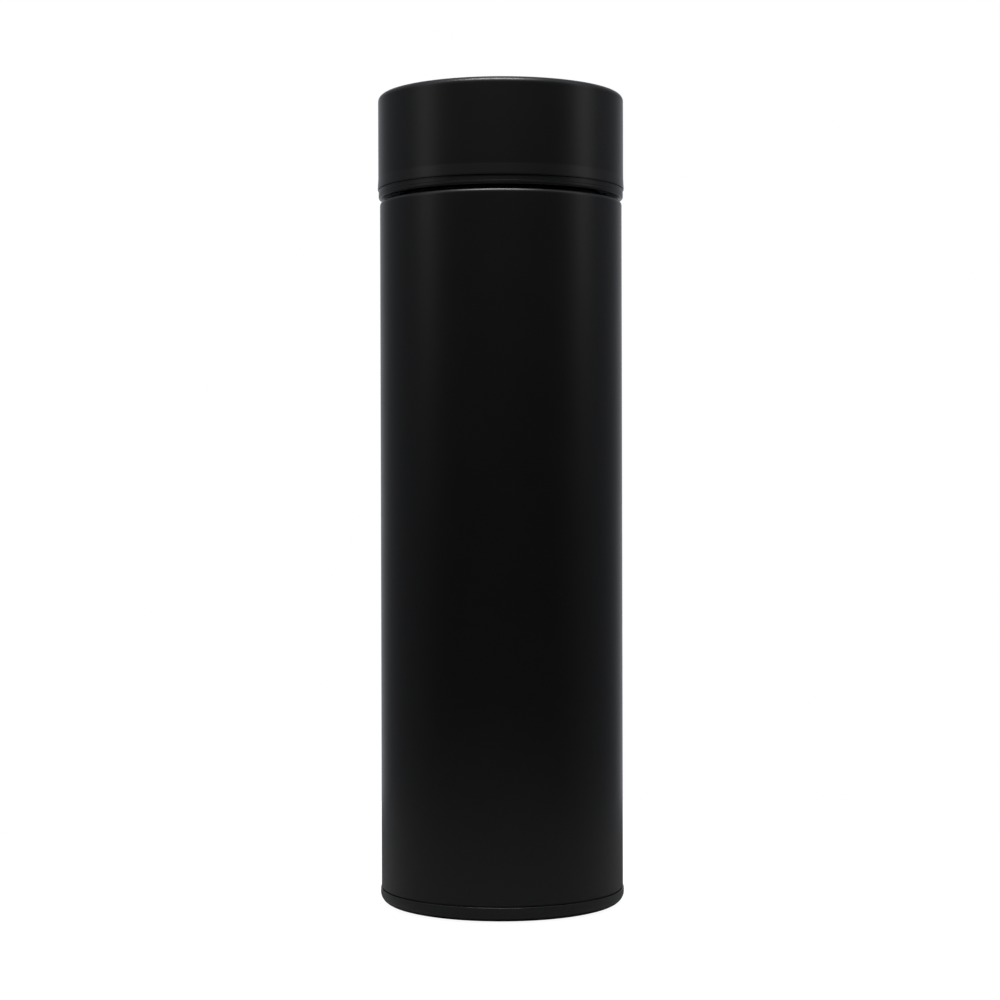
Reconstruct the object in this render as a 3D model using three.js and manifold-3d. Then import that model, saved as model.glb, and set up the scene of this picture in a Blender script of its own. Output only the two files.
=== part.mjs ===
// A double-walled steel vacuum flask with a screw lid, closed and standing on its foot pad.
// Millimetres, +Z up, origin on the axis at the foot pad's lower face.
import * as THREE from "three";
import { mergeVertices } from "three/addons/utils/BufferGeometryUtils.js";
import Module from "manifold-3d";

const wasm = await Module();
wasm.setup();

// ---- Driving sizes ----

const flaskHeight = 220; // foot pad to lid top
const bodyRadius = 33; // outside of the coated bottle wall
const lidHeight = 28; // trim ring's lower face to lid top
const fit = 0.3; // gap kept between pieces that touch
const roundSteps = 40; // facets in a full turn
const smallRoundSteps = 20; // the same, on the pieces under 10 mm across

// Bottle walls
const shellWall = 0.5;
const linerWall = 0.4;
const vacuumGap = 3; // between the two walls along the body
const neckVacuumGap = 0.8; // between the two walls at the neck
const shoulderRound = 1.1; // outer edge of the bottle shoulder
const neckHeight = 15.6; // shoulder to mouth
const neckFootRound = 1.2;
const lipThickness = 0.8; // rolled mouth, over the end of the outer neck
const taperHeight = 11; // where the liner closes in to its neck
const taperDrop = 3.2; // shoulder down to the top of that taper
const taperRound = 8;

// Base
const padProud = 0.4; // foot pad below the base cover
const padWidth = 9.4;
const padMargin = 8.05; // outside of the base cover to the foot pad
const padThickness = 1;
const coverHeight = 3.95;
const coverOverhang = 0.25; // base cover outside the bottle wall
const coverWall = 1.2;
const coverFloor = 1;
const coverRound = 2.8; // lower outer edge
const coverRecess = 0.5; // middle of the base, above its outer landing
const seamWidth = 0.35; // groove at the base cover and at the lid's trim ring
const stepRound = 0.35; // lower edge of the bottle wall, above that groove
const plateDepth = 5; // foot of the outer shell up to the welded base plate
const plateRound = 1.5;
const linerRise = 5.5; // base plate up to the liner's floor
const linerFloorRound = 5;
const linerFloorDish = 1.2; // middle of the liner's floor, above its rim
const linerFloorFlat = 15; // radius of that raised middle
const linerUpstand = 5.4; // rim of the floor up to the weld with the liner wall

// Evacuation dimple in the base plate, and what is beside it
const holeRadius = 0.8;
const dimpleRadius = 4.2;
const dimpleRise = 1.4;
const beadRadius = 3;
const beadHeight = 1.3;
const getterRadius = 4.5;
const getterHeight = 1.4;
const getterGap = 1.6; // dimple to the getter clip
const clipWidth = 3;
const clipStrip = 0.3;
const clipFoot = 3;

// Copper foil round the liner
const foilThickness = 0.15;
const foilInset = 6; // liner weld up to the foil, and foil up to the taper
const foilSlit = 2; // degrees left open where the foil's ends meet
const tapeSpan = 12; // degrees of the strip over that slit

// Lid
const lidOverhang = 0.45; // lid shell outside the bottle wall
const lidGap = 0.75; // open line between the bottle shoulder and the lid
const lidRound = 1.5; // top edge of the lid
const edgeFlare = 0.15; // lip at the lower edge of the lid shell
const edgeFlareHeight = 0.5;
const hemDepth = 0.9; // lower edge of the lid shell, folded in
const trimHeight = 2.15;
const trimInset = 0.1; // trim ring inside the lid shell's outline
const trimRound = 0.5;
const trimFloor = 1.2;
const trimUpstand = 6; // trim ring's inner collar, from its lower face
const trimWall = 1.2;
const capWall = 1.2; // inner cap's outer skirt
const threadSkirtWall = 1.8;
const threadSkirtRecess = 0.9; // threaded skirt, above the trim ring's lower face
const capWeb = 1.8;
const capRound = 1; // upper edge of the inner cap
const ribCount = 6;
const ribThickness = 1.2;
const gasketThickness = 1.8;
const gasketRib = 0.4; // sealing rib below the gasket
const plugDepth = 6; // plug below the mouth
const plugClearance = 1.6; // plug to the inside of the neck
const plugWall = 1.8;
const dishWall = 0.5;
const dishUpstand = 3;

// Thread, right-handed
const threadLead = 8; // rise in one turn
const threadStarts = 2;
const threadDepth = 1.1;
const threadClearance = 0.4;
const threadFootWidth = 1.9;
const threadCrestWidth = 0.9;
const threadRunIn = 3.2; // shoulder up to the first ridge
const threadRunOut = 3; // last ridge up to the mouth
const threadRoot = 0.25; // a ridge's foot, sunk into its wall

// ---- Places worked out from them ----

const coverRadius = bodyRadius + coverOverhang;
const footRadius = coverRadius - coverWall - fit; // outer shell, inside the base cover
const plateRadius = footRadius - shellWall - fit;
const padOuterRadius = coverRadius - padMargin;
const padInnerRadius = padOuterRadius - padWidth;
const padSeat = padThickness - padProud + fit; // depth of the pad's groove in the base cover
const coverFloorTop = padProud + padSeat + coverFloor;
const footEnd = coverFloorTop + fit;
const coverTop = padProud + coverHeight;
const wallStart = coverTop + seamWidth;
const plateTop = footEnd + plateDepth;
const linerFloor = plateTop + linerRise;
const linerWeld = linerFloor + linerUpstand;
const linerRadius = bodyRadius - shellWall - vacuumGap;
const getterOffset = dimpleRadius + dimpleRise + getterGap + clipFoot + fit + getterRadius;

const lidSeat = flaskHeight - lidHeight;
const shoulder = lidSeat - lidGap;
const mouth = shoulder + neckHeight;
const taperTop = shoulder - taperDrop;

const lidRadius = bodyRadius + lidOverhang;
const capRadius = lidRadius - shellWall - fit;
const trimCollarRadius = capRadius - capWall - fit;
const threadSkirtRadius = trimCollarRadius - trimWall - fit;
const capBore = threadSkirtRadius - threadSkirtWall;
const neckRadius = capBore - threadClearance - threadDepth;
const linerNeckRadius = neckRadius - shellWall - neckVacuumGap;
const mouthRadius = linerNeckRadius - linerWall;
const plugRadius = mouthRadius - plugClearance;
const plugBore = plugRadius - plugWall;
const dishCollarRadius = plugBore - fit;

// Heights inside the lid, from its lower face
const mouthInLid = mouth - lidSeat;
const gasketBottom = mouthInLid + fit;
const webBottom = gasketBottom + gasketThickness + fit;
const webTop = webBottom + capWeb;
const plugBottom = mouthInLid - plugDepth;
const hemBottom = trimHeight + seamWidth;
const dishBottom = plugBottom - fit - dishWall;

const threadSpacing = threadLead / threadStarts;
const threadFirst = shoulder + threadRunIn;
const threadLast = mouth - threadRunOut;

// ---- Materials ----

const finish = (color, roughness, metalness) => new THREE.MeshStandardMaterial({ color, roughness, metalness });
const powderCoat = finish(0x121314, 0.45, 0);
const blackPlastic = finish(0x151617, 0.4, 0);
const greyPlastic = finish(0x2b2d2f, 0.5, 0);
const silicone = finish(0xd9dad6, 0.5, 0);
const footRubber = finish(0x1b1b1c, 0.75, 0);
const steel = finish(0xc2c4c6, 0.3, 1);
const copper = finish(0xb87352, 0.35, 1);
const foam = finish(0xece9e1, 0.95, 0);
const solderGlass = finish(0x39424a, 0.15, 0);
const getterAlloy = finish(0x6b6a68, 0.6, 1);

// ---- Shape helpers ----

// The points of an outline given as corners [radius, height, rounding], with each rounding drawn as an arc.
function outline(corners, arcSteps) {
  const at = (i) => new THREE.Vector2(...corners[(i + corners.length) % corners.length]);
  return corners.flatMap(([, , rounding = 0], i) => {
    if (!rounding) return [at(i)];
    const back = at(i - 1).sub(at(i)).normalize();
    const ahead = at(i + 1).sub(at(i)).normalize();
    const half = back.angleTo(ahead) / 2;
    const centre = back.clone().add(ahead).setLength(rounding / Math.sin(half)).add(at(i));
    const first = back.multiplyScalar(rounding / Math.tan(half)).add(at(i)).sub(centre);
    const last = ahead.multiplyScalar(rounding / Math.tan(half)).add(at(i)).sub(centre);
    const turn = Math.sign(first.cross(last)) * first.angleTo(last);
    const origin = new THREE.Vector2();
    return Array.from({ length: arcSteps + 1 }, (_, k) =>
      first.clone().rotateAround(origin, (turn * k) / arcSteps).add(centre),
    );
  });
}

// A solid of revolution about Z. Its outline either runs from the axis to the axis or closes on itself.
function turned(corners, { facets = roundSteps, arcSteps = 3 } = {}) {
  const points = outline(corners, arcSteps);
  if (THREE.ShapeUtils.area(points) < 0) points.reverse();
  if (points.every((p) => p.x > 0)) points.push(points[0].clone());
  else while (points[0].x > 0 || points.at(-1).x > 0) points.push(points.shift());
  return new THREE.LatheGeometry(points, facets).rotateX(Math.PI / 2);
}

// Part of a ring, seen from above: a band between two radii over a span of degrees, pushed up to a height.
function curvedStrip(inner, thickness, fromDegrees, toDegrees, height, facets) {
  const from = THREE.MathUtils.degToRad(fromDegrees);
  const to = THREE.MathUtils.degToRad(toDegrees);
  const band = new THREE.Shape();
  band.absarc(0, 0, inner + thickness, from, to, false);
  band.absarc(0, 0, inner, to, from, true);
  return new THREE.ExtrudeGeometry(band, { depth: height, bevelEnabled: false, curveSegments: facets });
}

function toSolid(geometry) {
  const bare = new THREE.BufferGeometry();
  bare.setAttribute("position", geometry.getAttribute("position"));
  bare.setIndex(geometry.index);
  const merged = mergeVertices(bare, 1e-4);
  const vertProperties = merged.getAttribute("position").array;
  const triVerts = new Uint32Array(merged.index.array);
  return new wasm.Manifold(new wasm.Mesh({ numProp: 3, vertProperties, triVerts }));
}

function joined(first, ...others) {
  const { vertProperties, triVerts } = others.reduce((sum, g) => sum.add(toSolid(g)), toSolid(first)).getMesh();
  const geometry = new THREE.BufferGeometry();
  geometry.setAttribute("position", new THREE.BufferAttribute(vertProperties, 3));
  return geometry.setIndex(new THREE.BufferAttribute(triVerts, 1));
}

// One thread ridge: a trapezoid carried up a right-handed helix, sinking into its wall at both ends.
function threadRidge(root, crest, firstHeight, lastHeight, startAngle) {
  const steps = Math.ceil((roundSteps * (lastHeight - firstHeight)) / threadLead);
  const stepAngle = (2 * Math.PI) / roundSteps;
  const fade = 4; // steps over which a ridge rises to its full depth
  const positions = [];
  const triangles = [];
  for (let i = 0; i <= steps; i++) {
    const angle = startAngle + i * stepAngle;
    const height = firstHeight + (i * threadLead) / roundSteps;
    const depth = Math.min(1, (i + 0.5) / fade, (steps - i + 0.5) / fade);
    const tip = root + (crest - root) * depth;
    const section = [
      [root, -threadFootWidth / 2],
      [tip, -threadCrestWidth / 2],
      [tip, threadCrestWidth / 2],
      [root, threadFootWidth / 2],
    ];
    for (const [r, rise] of section) positions.push(r * Math.cos(angle), r * Math.sin(angle), height + rise);
  }
  const face = crest > root ? (a, b, c) => triangles.push(a, b, c) : (a, b, c) => triangles.push(a, c, b);
  for (let i = 0; i < steps; i++) {
    for (let k = 0; k < 4; k++) {
      const [here, next] = [4 * i + k, 4 * i + ((k + 1) % 4)];
      face(here, here + 4, next + 4);
      face(here, next + 4, next);
    }
  }
  const end = 4 * steps;
  for (const k of [1, 2]) {
    face(0, k, k + 1);
    face(end, end + k + 1, end + k);
  }
  const geometry = new THREE.BufferGeometry();
  geometry.setAttribute("position", new THREE.Float32BufferAttribute(positions, 3));
  return geometry.setIndex(triangles);
}

// All the starts of one thread, evenly spaced round the axis.
function thread(root, crest, firstHeight, lastHeight) {
  return Array.from({ length: threadStarts }, (_, n) =>
    threadRidge(root, crest, firstHeight, lastHeight, (2 * Math.PI * n) / threadStarts),
  );
}

// ---- Bottle pieces, each drawn from its own lowest point or plane ----

// The coated outer wall, with the shoulder and the threaded neck. Height 0 is the end of its foot.
function outerShell() {
  const step = wallStart - footEnd;
  const top = shoulder - footEnd;
  const neckTop = mouth - lipThickness - fit - footEnd;
  const wall = turned([
    [footRadius, 0],
    [footRadius, step],
    [bodyRadius, step, stepRound],
    [bodyRadius, top, shoulderRound],
    [neckRadius, top, neckFootRound],
    [neckRadius, neckTop],
    [neckRadius - shellWall, neckTop],
    [neckRadius - shellWall, top - shellWall, neckFootRound + shellWall],
    [bodyRadius - shellWall, top - shellWall, shoulderRound - shellWall],
    [bodyRadius - shellWall, step + shellWall],
    [footRadius - shellWall, step + shellWall],
    [footRadius - shellWall, 0],
  ]);
  const ridges = thread(neckRadius - threadRoot, neckRadius + threadDepth, threadFirst - footEnd, threadLast - footEnd);
  return joined(wall, ...ridges);
}

// The inner vessel from the weld with its floor up to the rolled mouth. Height 0 is the weld.
function innerLiner() {
  const height = mouth - linerWeld;
  const lipBottom = height - lipThickness;
  const taperHigh = taperTop - linerWeld;
  const taperLow = taperHigh - taperHeight;
  return turned([
    [linerRadius, 0],
    [linerRadius, taperLow, taperRound],
    [linerNeckRadius, taperHigh, taperRound],
    [linerNeckRadius, lipBottom],
    [neckRadius, lipBottom],
    [neckRadius, height, lipThickness / 2],
    [mouthRadius, height, lipThickness],
    [mouthRadius, taperHigh, taperRound],
    [linerRadius - linerWall, taperLow, taperRound],
    [linerRadius - linerWall, 0],
  ]);
}

// The liner's dished floor, with its rim turned up to the weld.
function linerBase() {
  const rimTop = linerUpstand - fit;
  return turned([
    [0, linerFloorDish],
    [linerFloorFlat, linerFloorDish],
    [linerFloorFlat + 2 * linerFloorDish, 0],
    [linerRadius, 0, linerFloorRound],
    [linerRadius, rimTop],
    [linerRadius - linerWall, rimTop],
    [linerRadius - linerWall, linerWall, linerFloorRound - linerWall],
    [linerFloorFlat + 2 * linerFloorDish, linerWall],
    [linerFloorFlat, linerFloorDish + linerWall],
    [0, linerFloorDish + linerWall],
  ]);
}

// The plate welded into the outer shell's foot. Its flange points down, its dimple up.
function basePlate() {
  const under = plateDepth - shellWall;
  return turned([
    [holeRadius, plateDepth + dimpleRise],
    [dimpleRadius, plateDepth + dimpleRise],
    [dimpleRadius + dimpleRise, plateDepth],
    [plateRadius, plateDepth, plateRound],
    [plateRadius, 0],
    [plateRadius - shellWall, 0],
    [plateRadius - shellWall, under, plateRound - shellWall],
    [dimpleRadius + dimpleRise - shellWall / 2, under],
    [dimpleRadius - shellWall / 2, under + dimpleRise],
    [holeRadius, under + dimpleRise],
  ], { arcSteps: 2 });
}

// The bead of solder glass that closes the evacuation hole.
function glassSeal() {
  return turned([
    [0, 0],
    [beadRadius, 0, beadHeight * 0.7],
    [beadRadius, beadHeight],
    [0, beadHeight],
  ], { facets: smallRoundSteps });
}

// A hat-shaped strap over the getter, with a foot on each side.
function getterClip() {
  const reach = getterRadius + fit;
  const top = getterHeight + 2 * fit;
  const hat = new THREE.Shape();
  hat.moveTo(-reach - clipFoot, 0);
  hat.lineTo(-reach, 0);
  hat.lineTo(-reach, top);
  hat.lineTo(reach, top);
  hat.lineTo(reach, 0);
  hat.lineTo(reach + clipFoot, 0);
  hat.lineTo(reach + clipFoot, clipStrip);
  hat.lineTo(reach + clipStrip, clipStrip);
  hat.lineTo(reach + clipStrip, top + clipStrip);
  hat.lineTo(-reach - clipStrip, top + clipStrip);
  hat.lineTo(-reach - clipStrip, clipStrip);
  hat.lineTo(-reach - clipFoot, clipStrip);
  const strap = new THREE.ExtrudeGeometry(hat, { depth: clipWidth, bevelEnabled: false });
  return strap.translate(0, 0, -clipWidth / 2).rotateX(Math.PI / 2);
}

// The foam pad that bonds the base cover to the base plate, open in the middle round the glass seal.
function baseFoam() {
  const outer = plateRadius - shellWall - plateRound;
  const inner = dimpleRadius + dimpleRise;
  const thickness = plateDepth - shellWall - 2 * fit;
  return turned([
    [inner, 0],
    [outer, 0],
    [outer, thickness],
    [inner, thickness],
  ]);
}

// The cup that finishes the bottom, with a groove for the foot pad.
function baseCover() {
  const floorTop = padSeat + coverFloor;
  return turned([
    [0, coverRecess],
    [padInnerRadius - fit - coverFloor, coverRecess],
    [padInnerRadius - fit - coverFloor, 0],
    [padInnerRadius - fit, 0],
    [padInnerRadius - fit, padSeat],
    [padOuterRadius + fit, padSeat],
    [padOuterRadius + fit, 0],
    [coverRadius, 0, coverRound],
    [coverRadius, coverHeight, stepRound],
    [coverRadius - coverWall, coverHeight],
    [coverRadius - coverWall, floorTop],
    [0, floorTop],
  ], { arcSteps: 4 });
}

function footPad() {
  return turned([
    [padInnerRadius, 0],
    [padOuterRadius, 0],
    [padOuterRadius, padThickness],
    [padInnerRadius, padThickness],
  ]);
}

// ---- Lid pieces ----

// The drawn cover of the lid, its lower edge flared a little and folded in.
function lidShell() {
  const height = lidHeight - hemBottom;
  const inside = lidRadius - shellWall;
  return turned([
    [inside - hemDepth, 0],
    [lidRadius + edgeFlare, 0],
    [lidRadius + edgeFlare, edgeFlareHeight],
    [lidRadius, 2 * edgeFlareHeight],
    [lidRadius, height, lidRound],
    [0, height],
    [0, height - shellWall],
    [inside, height - shellWall, lidRound - shellWall],
    [inside, shellWall],
    [inside - hemDepth, shellWall],
  ], { arcSteps: 4 });
}

// The ring below the lid shell. It closes the space between the shell and the threaded skirt.
function lidTrimRing() {
  return turned([
    [threadSkirtRadius + fit, 0],
    [lidRadius - trimInset, 0, trimRound],
    [lidRadius - trimInset, trimHeight],
    [trimCollarRadius, trimHeight],
    [trimCollarRadius, trimUpstand],
    [trimCollarRadius - trimWall, trimUpstand],
    [trimCollarRadius - trimWall, trimFloor],
    [threadSkirtRadius + fit, trimFloor],
  ], { arcSteps: 2 });
}

// The moulded inside of the lid: outer skirt, threaded skirt, web and hollow plug, stiffened by ribs.
// Height 0 is the lid's lower face.
function lidInnerCap() {
  const skirtBottom = hemBottom + shellWall + fit;
  const body = turned([
    [0, webBottom],
    [plugBore, webBottom],
    [plugBore, plugBottom],
    [plugRadius, plugBottom],
    [plugRadius, webBottom],
    [capBore, webBottom],
    [capBore, threadSkirtRecess],
    [threadSkirtRadius, threadSkirtRecess],
    [threadSkirtRadius, webBottom],
    [capRadius - capWall, webBottom],
    [capRadius - capWall, skirtBottom],
    [capRadius, skirtBottom],
    [capRadius, webTop, capRound],
    [0, webTop],
  ], { arcSteps: 2 });
  const ribBottom = trimUpstand + fit;
  const ribHeight = webBottom + threadRoot - ribBottom;
  const ribLength = capRadius - capWall - threadSkirtRadius + 2 * threadRoot;
  const ribs = Array.from({ length: ribCount }, (_, n) =>
    new THREE.BoxGeometry(ribLength, ribThickness, ribHeight)
      .translate((capRadius - capWall + threadSkirtRadius) / 2, 0, ribBottom + ribHeight / 2)
      .rotateZ((2 * Math.PI * (n + 0.5)) / ribCount),
  );
  const ridgeFirst = threadFirst + threadSpacing / 2 - lidSeat;
  const ridges = thread(capBore + threadRoot, capBore - threadDepth, ridgeFirst, threadLast - lidSeat);
  return joined(body, ...ribs, ...ridges);
}

// The steel face of the plug, with a collar inside the plug's bore.
function lidSteelDish() {
  const collarTop = dishWall + dishUpstand;
  return turned([
    [0, 0],
    [plugRadius, 0, dishWall / 2],
    [plugRadius, dishWall],
    [dishCollarRadius, dishWall],
    [dishCollarRadius, collarTop],
    [dishCollarRadius - dishWall, collarTop],
    [dishCollarRadius - dishWall, dishWall],
    [0, dishWall],
  ], { arcSteps: 2 });
}

function foamDisc(radius, height, rounding) {
  return turned([
    [0, 0],
    [radius, 0],
    [radius, height, rounding],
    [0, height],
  ], { arcSteps: 2 });
}

// The silicone ring that the mouth presses on, with a sealing rib below.
function lidGasket() {
  const inner = plugRadius + fit;
  const outer = capBore - fit;
  const middle = (mouthRadius + neckRadius) / 2;
  return turned([
    [inner, gasketRib],
    [middle - 2 * gasketRib, gasketRib],
    [middle - gasketRib, 0],
    [middle + gasketRib, 0],
    [middle + 2 * gasketRib, gasketRib],
    [outer, gasketRib],
    [outer, gasketThickness],
    [inner, gasketThickness],
  ]);
}

// ---- Assembly ----

function piece(name, geometry, material, parent, height = 0) {
  const mesh = new THREE.Mesh(geometry, material);
  mesh.name = name;
  mesh.position.z = height;
  parent.add(mesh);
  return mesh;
}

const flask = new THREE.Group();
const bottle = new THREE.Group();
const lid = new THREE.Group();
lid.position.z = lidSeat;
flask.add(bottle, lid);

piece("outer_shell", outerShell(), powderCoat, bottle, footEnd);
piece("inner_liner", innerLiner(), steel, bottle, linerWeld);
piece("liner_base", linerBase(), steel, bottle, linerFloor);

const foilStart = linerWeld + foilInset;
const foilHeight = taperTop - taperHeight - foilInset - foilStart;
const foilRadius = linerRadius + fit;
const foil = curvedStrip(foilRadius, foilThickness, foilSlit / 2, 360 - foilSlit / 2, foilHeight, roundSteps / 2);
piece("copper_foil", foil, copper, bottle, foilStart);
const tape = curvedStrip(foilRadius + foilThickness + fit, foilThickness, -tapeSpan / 2, tapeSpan / 2, foilHeight, 2);
piece("foil_tape", tape, copper, bottle, foilStart);
const discRadius = linerRadius - linerFloorRound;
piece("foil_disc", foamDisc(discRadius, foilThickness, 0), copper, bottle, linerFloor - fit - foilThickness);

piece("base_plate", basePlate(), steel, bottle, footEnd);
piece("glass_seal", glassSeal(), solderGlass, bottle, plateTop - shellWall + dimpleRise - fit - beadHeight);
const getter = new THREE.Group();
getter.position.set(getterOffset, 0, plateTop + fit);
bottle.add(getter);
const pill = new THREE.CylinderGeometry(getterRadius, getterRadius, getterHeight, smallRoundSteps);
piece("getter_pill", pill.rotateX(Math.PI / 2), getterAlloy, getter, getterHeight / 2);
piece("getter_clip", getterClip(), steel, getter);

piece("base_foam", baseFoam(), foam, bottle, footEnd);
piece("base_cover", baseCover(), blackPlastic, bottle, padProud);
piece("foot_pad", footPad(), footRubber, bottle);

piece("lid_shell", lidShell(), powderCoat, lid, hemBottom);
piece("lid_trim_ring", lidTrimRing(), blackPlastic, lid);
piece("lid_inner_cap", lidInnerCap(), greyPlastic, lid);
const topFoamHeight = lidHeight - shellWall - fit - webTop - fit;
piece("lid_top_foam", foamDisc(capRadius - fit, topFoamHeight, lidRound), foam, lid, webTop + fit);
const plugFoamBottom = dishBottom + dishWall + fit;
const plugFoamRadius = dishCollarRadius - dishWall - fit;
const plugFoam = foamDisc(plugFoamRadius, webBottom - fit - plugFoamBottom, 0);
piece("lid_plug_foam", plugFoam, foam, lid, plugFoamBottom);
piece("lid_steel_dish", lidSteelDish(), steel, lid, dishBottom);
piece("lid_gasket", lidGasket(), silicone, lid, gasketBottom);

export default flask;
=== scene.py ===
from math import cos, pi, radians, sin, tan

import bmesh
import bpy
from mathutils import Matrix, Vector


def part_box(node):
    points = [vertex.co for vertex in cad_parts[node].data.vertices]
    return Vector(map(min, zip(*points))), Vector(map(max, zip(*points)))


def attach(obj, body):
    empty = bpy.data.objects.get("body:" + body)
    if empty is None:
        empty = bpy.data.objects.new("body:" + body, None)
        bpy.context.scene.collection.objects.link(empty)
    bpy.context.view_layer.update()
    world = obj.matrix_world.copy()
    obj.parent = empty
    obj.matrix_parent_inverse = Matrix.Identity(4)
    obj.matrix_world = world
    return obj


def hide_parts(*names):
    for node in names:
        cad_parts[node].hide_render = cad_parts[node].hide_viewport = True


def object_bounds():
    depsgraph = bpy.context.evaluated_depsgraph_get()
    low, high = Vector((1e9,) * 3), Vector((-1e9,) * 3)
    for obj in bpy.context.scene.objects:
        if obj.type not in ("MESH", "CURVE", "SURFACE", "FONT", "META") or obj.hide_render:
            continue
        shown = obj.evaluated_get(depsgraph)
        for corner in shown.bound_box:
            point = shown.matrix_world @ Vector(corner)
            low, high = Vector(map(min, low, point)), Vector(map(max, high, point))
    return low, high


# A double-walled steel vacuum flask with a screw lid, standing closed.
# Outlines are in millimetres, as radius and height, and are turned about Z.

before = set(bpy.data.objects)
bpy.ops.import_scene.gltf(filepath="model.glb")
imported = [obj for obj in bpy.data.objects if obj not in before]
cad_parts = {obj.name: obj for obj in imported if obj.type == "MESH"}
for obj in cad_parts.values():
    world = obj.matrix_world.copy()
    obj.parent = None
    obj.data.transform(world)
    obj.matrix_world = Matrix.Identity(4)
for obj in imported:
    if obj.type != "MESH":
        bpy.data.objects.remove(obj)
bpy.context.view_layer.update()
mm = 0.001
meeting = 0.0015 * mm  # points nearer than this are one
sharpFrom = radians(38)  # edges that bend by more stay crisp
scene = bpy.context.scene


# Small helpers

def toLinear(hexColour):
    channels = [int(hexColour[i:i + 2], 16) / 255 for i in (1, 3, 5)]
    return [c / 12.92 if c <= 0.04045 else ((c + 0.055) / 1.055) ** 2.4 for c in channels] + [1]


def addNode(tree, kind, settings=None, links=None):
    node = tree.nodes.new(kind)
    for key, value in (settings or {}).items():
        if isinstance(key, str) and hasattr(node, key):
            setattr(node, key, value)
        else:
            node.inputs[key].default_value = value
    for key, source in (links or {}).items():
        tree.links.new(getattr(source, "outputs", [source])[0], node.inputs[key])
    return node


def placeOf(node):  # outer radius, lowest and highest point of a frame node, in millimetres
    low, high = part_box(node)
    return high.x / mm, low.z / mm, high.z / mm


# Sizes shared by several pieces. The rest come from the frame.
shared = {
    "gap": 0.3,  # left between frame pieces that touch
    "shellWall": 0.5,
    "linerWall": 0.4,
    "neckVacuum": 0.8,
    "openLine": 0.75,  # bottle shoulder to the lid
    "footWall": 1.2,  # base cover's rim
    "lidWall": 0.5,
    "capSkirt": 1.2,  # the lid's moulded outer skirt
    "plugWall": 1.8,
    "dishWall": 0.5,
    "seamGap": 0.02,  # welded pieces are drawn this far apart
    "threadClearance": 0.4,
    "threadDepth": 1.1,
    "threadLead": 8,
    "threadStarts": 2,
    "threadFoot": 2.4,
    "threadCrest": 0.6,
    "threadStep": 0.14,  # height between the rows that draw a ridge
    "threadRunIn": 3.2,  # shoulder to the first ridge
    "threadRunOut": 3,  # last ridge to the mouth
    "threadFade": 1.1,  # rise over which a ridge grows out of its wall
    "threadReach": 0.1,  # points this near the wall's face go out with the ridge
    "padWidth": 9.4,
}
gap = shared["gap"]
bodyRadius, bottleFoot, neckTop = placeOf("outer_shell")
linerRadius, linerLow, mouth = placeOf("inner_liner")
lidRadius, hemLow, lidTop = placeOf("lid_shell")
trimRadius, lidSeat, trimTop = placeOf("lid_trim_ring")
gasketRadius, gasketLow, gasketTop = placeOf("lid_gasket")
capRadius, capLow, capTop = placeOf("lid_inner_cap")
plugRadius, dishLow, dishTop = placeOf("lid_steel_dish")
coverRadius, coverLow, coverTop = placeOf("base_cover")
shoulder = lidSeat - shared["openLine"]
capBore = gasketRadius + gap
neckRadius = capBore - shared["threadClearance"] - shared["threadDepth"]
mouthRadius = neckRadius - shared["shellWall"] - shared["neckVacuum"] - shared["linerWall"]


# Geometry Nodes: turns a row of outline points about Z, and presses a screw thread into one wall

turnTree = bpy.data.node_groups.new("turnedPiece", "GeometryNodeTree")
turnSockets = {}
for socketName, socketKind, socketValue in (
    ("Outline", "Geometry", None),
    ("Segments", "Int", 192),
    ("Thread Radius", "Float", 0.0),
    ("Thread Wall", "Float", 0.0),
    ("Thread Depth", "Float", 0.0),
    ("Thread Lead", "Float", 0.008),
    ("Thread Starts", "Float", 2.0),
    ("Thread First", "Float", 0.0),
    ("Thread Last", "Float", 0.01),
    ("Thread Fade", "Float", 0.001),
    ("Thread Foot", "Float", 0.0009),
    ("Thread Crest", "Float", 0.0004),
    ("Material", "Material", None),
):
    socket = turnTree.interface.new_socket(socketName, in_out="INPUT",
                                           socket_type="NodeSocket" + socketKind)
    if socketValue is not None:
        socket.default_value = socketValue
    turnSockets[socketName] = socket.identifier
turnTree.interface.new_socket("Mesh", in_out="OUTPUT", socket_type="NodeSocketGeometry")


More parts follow.
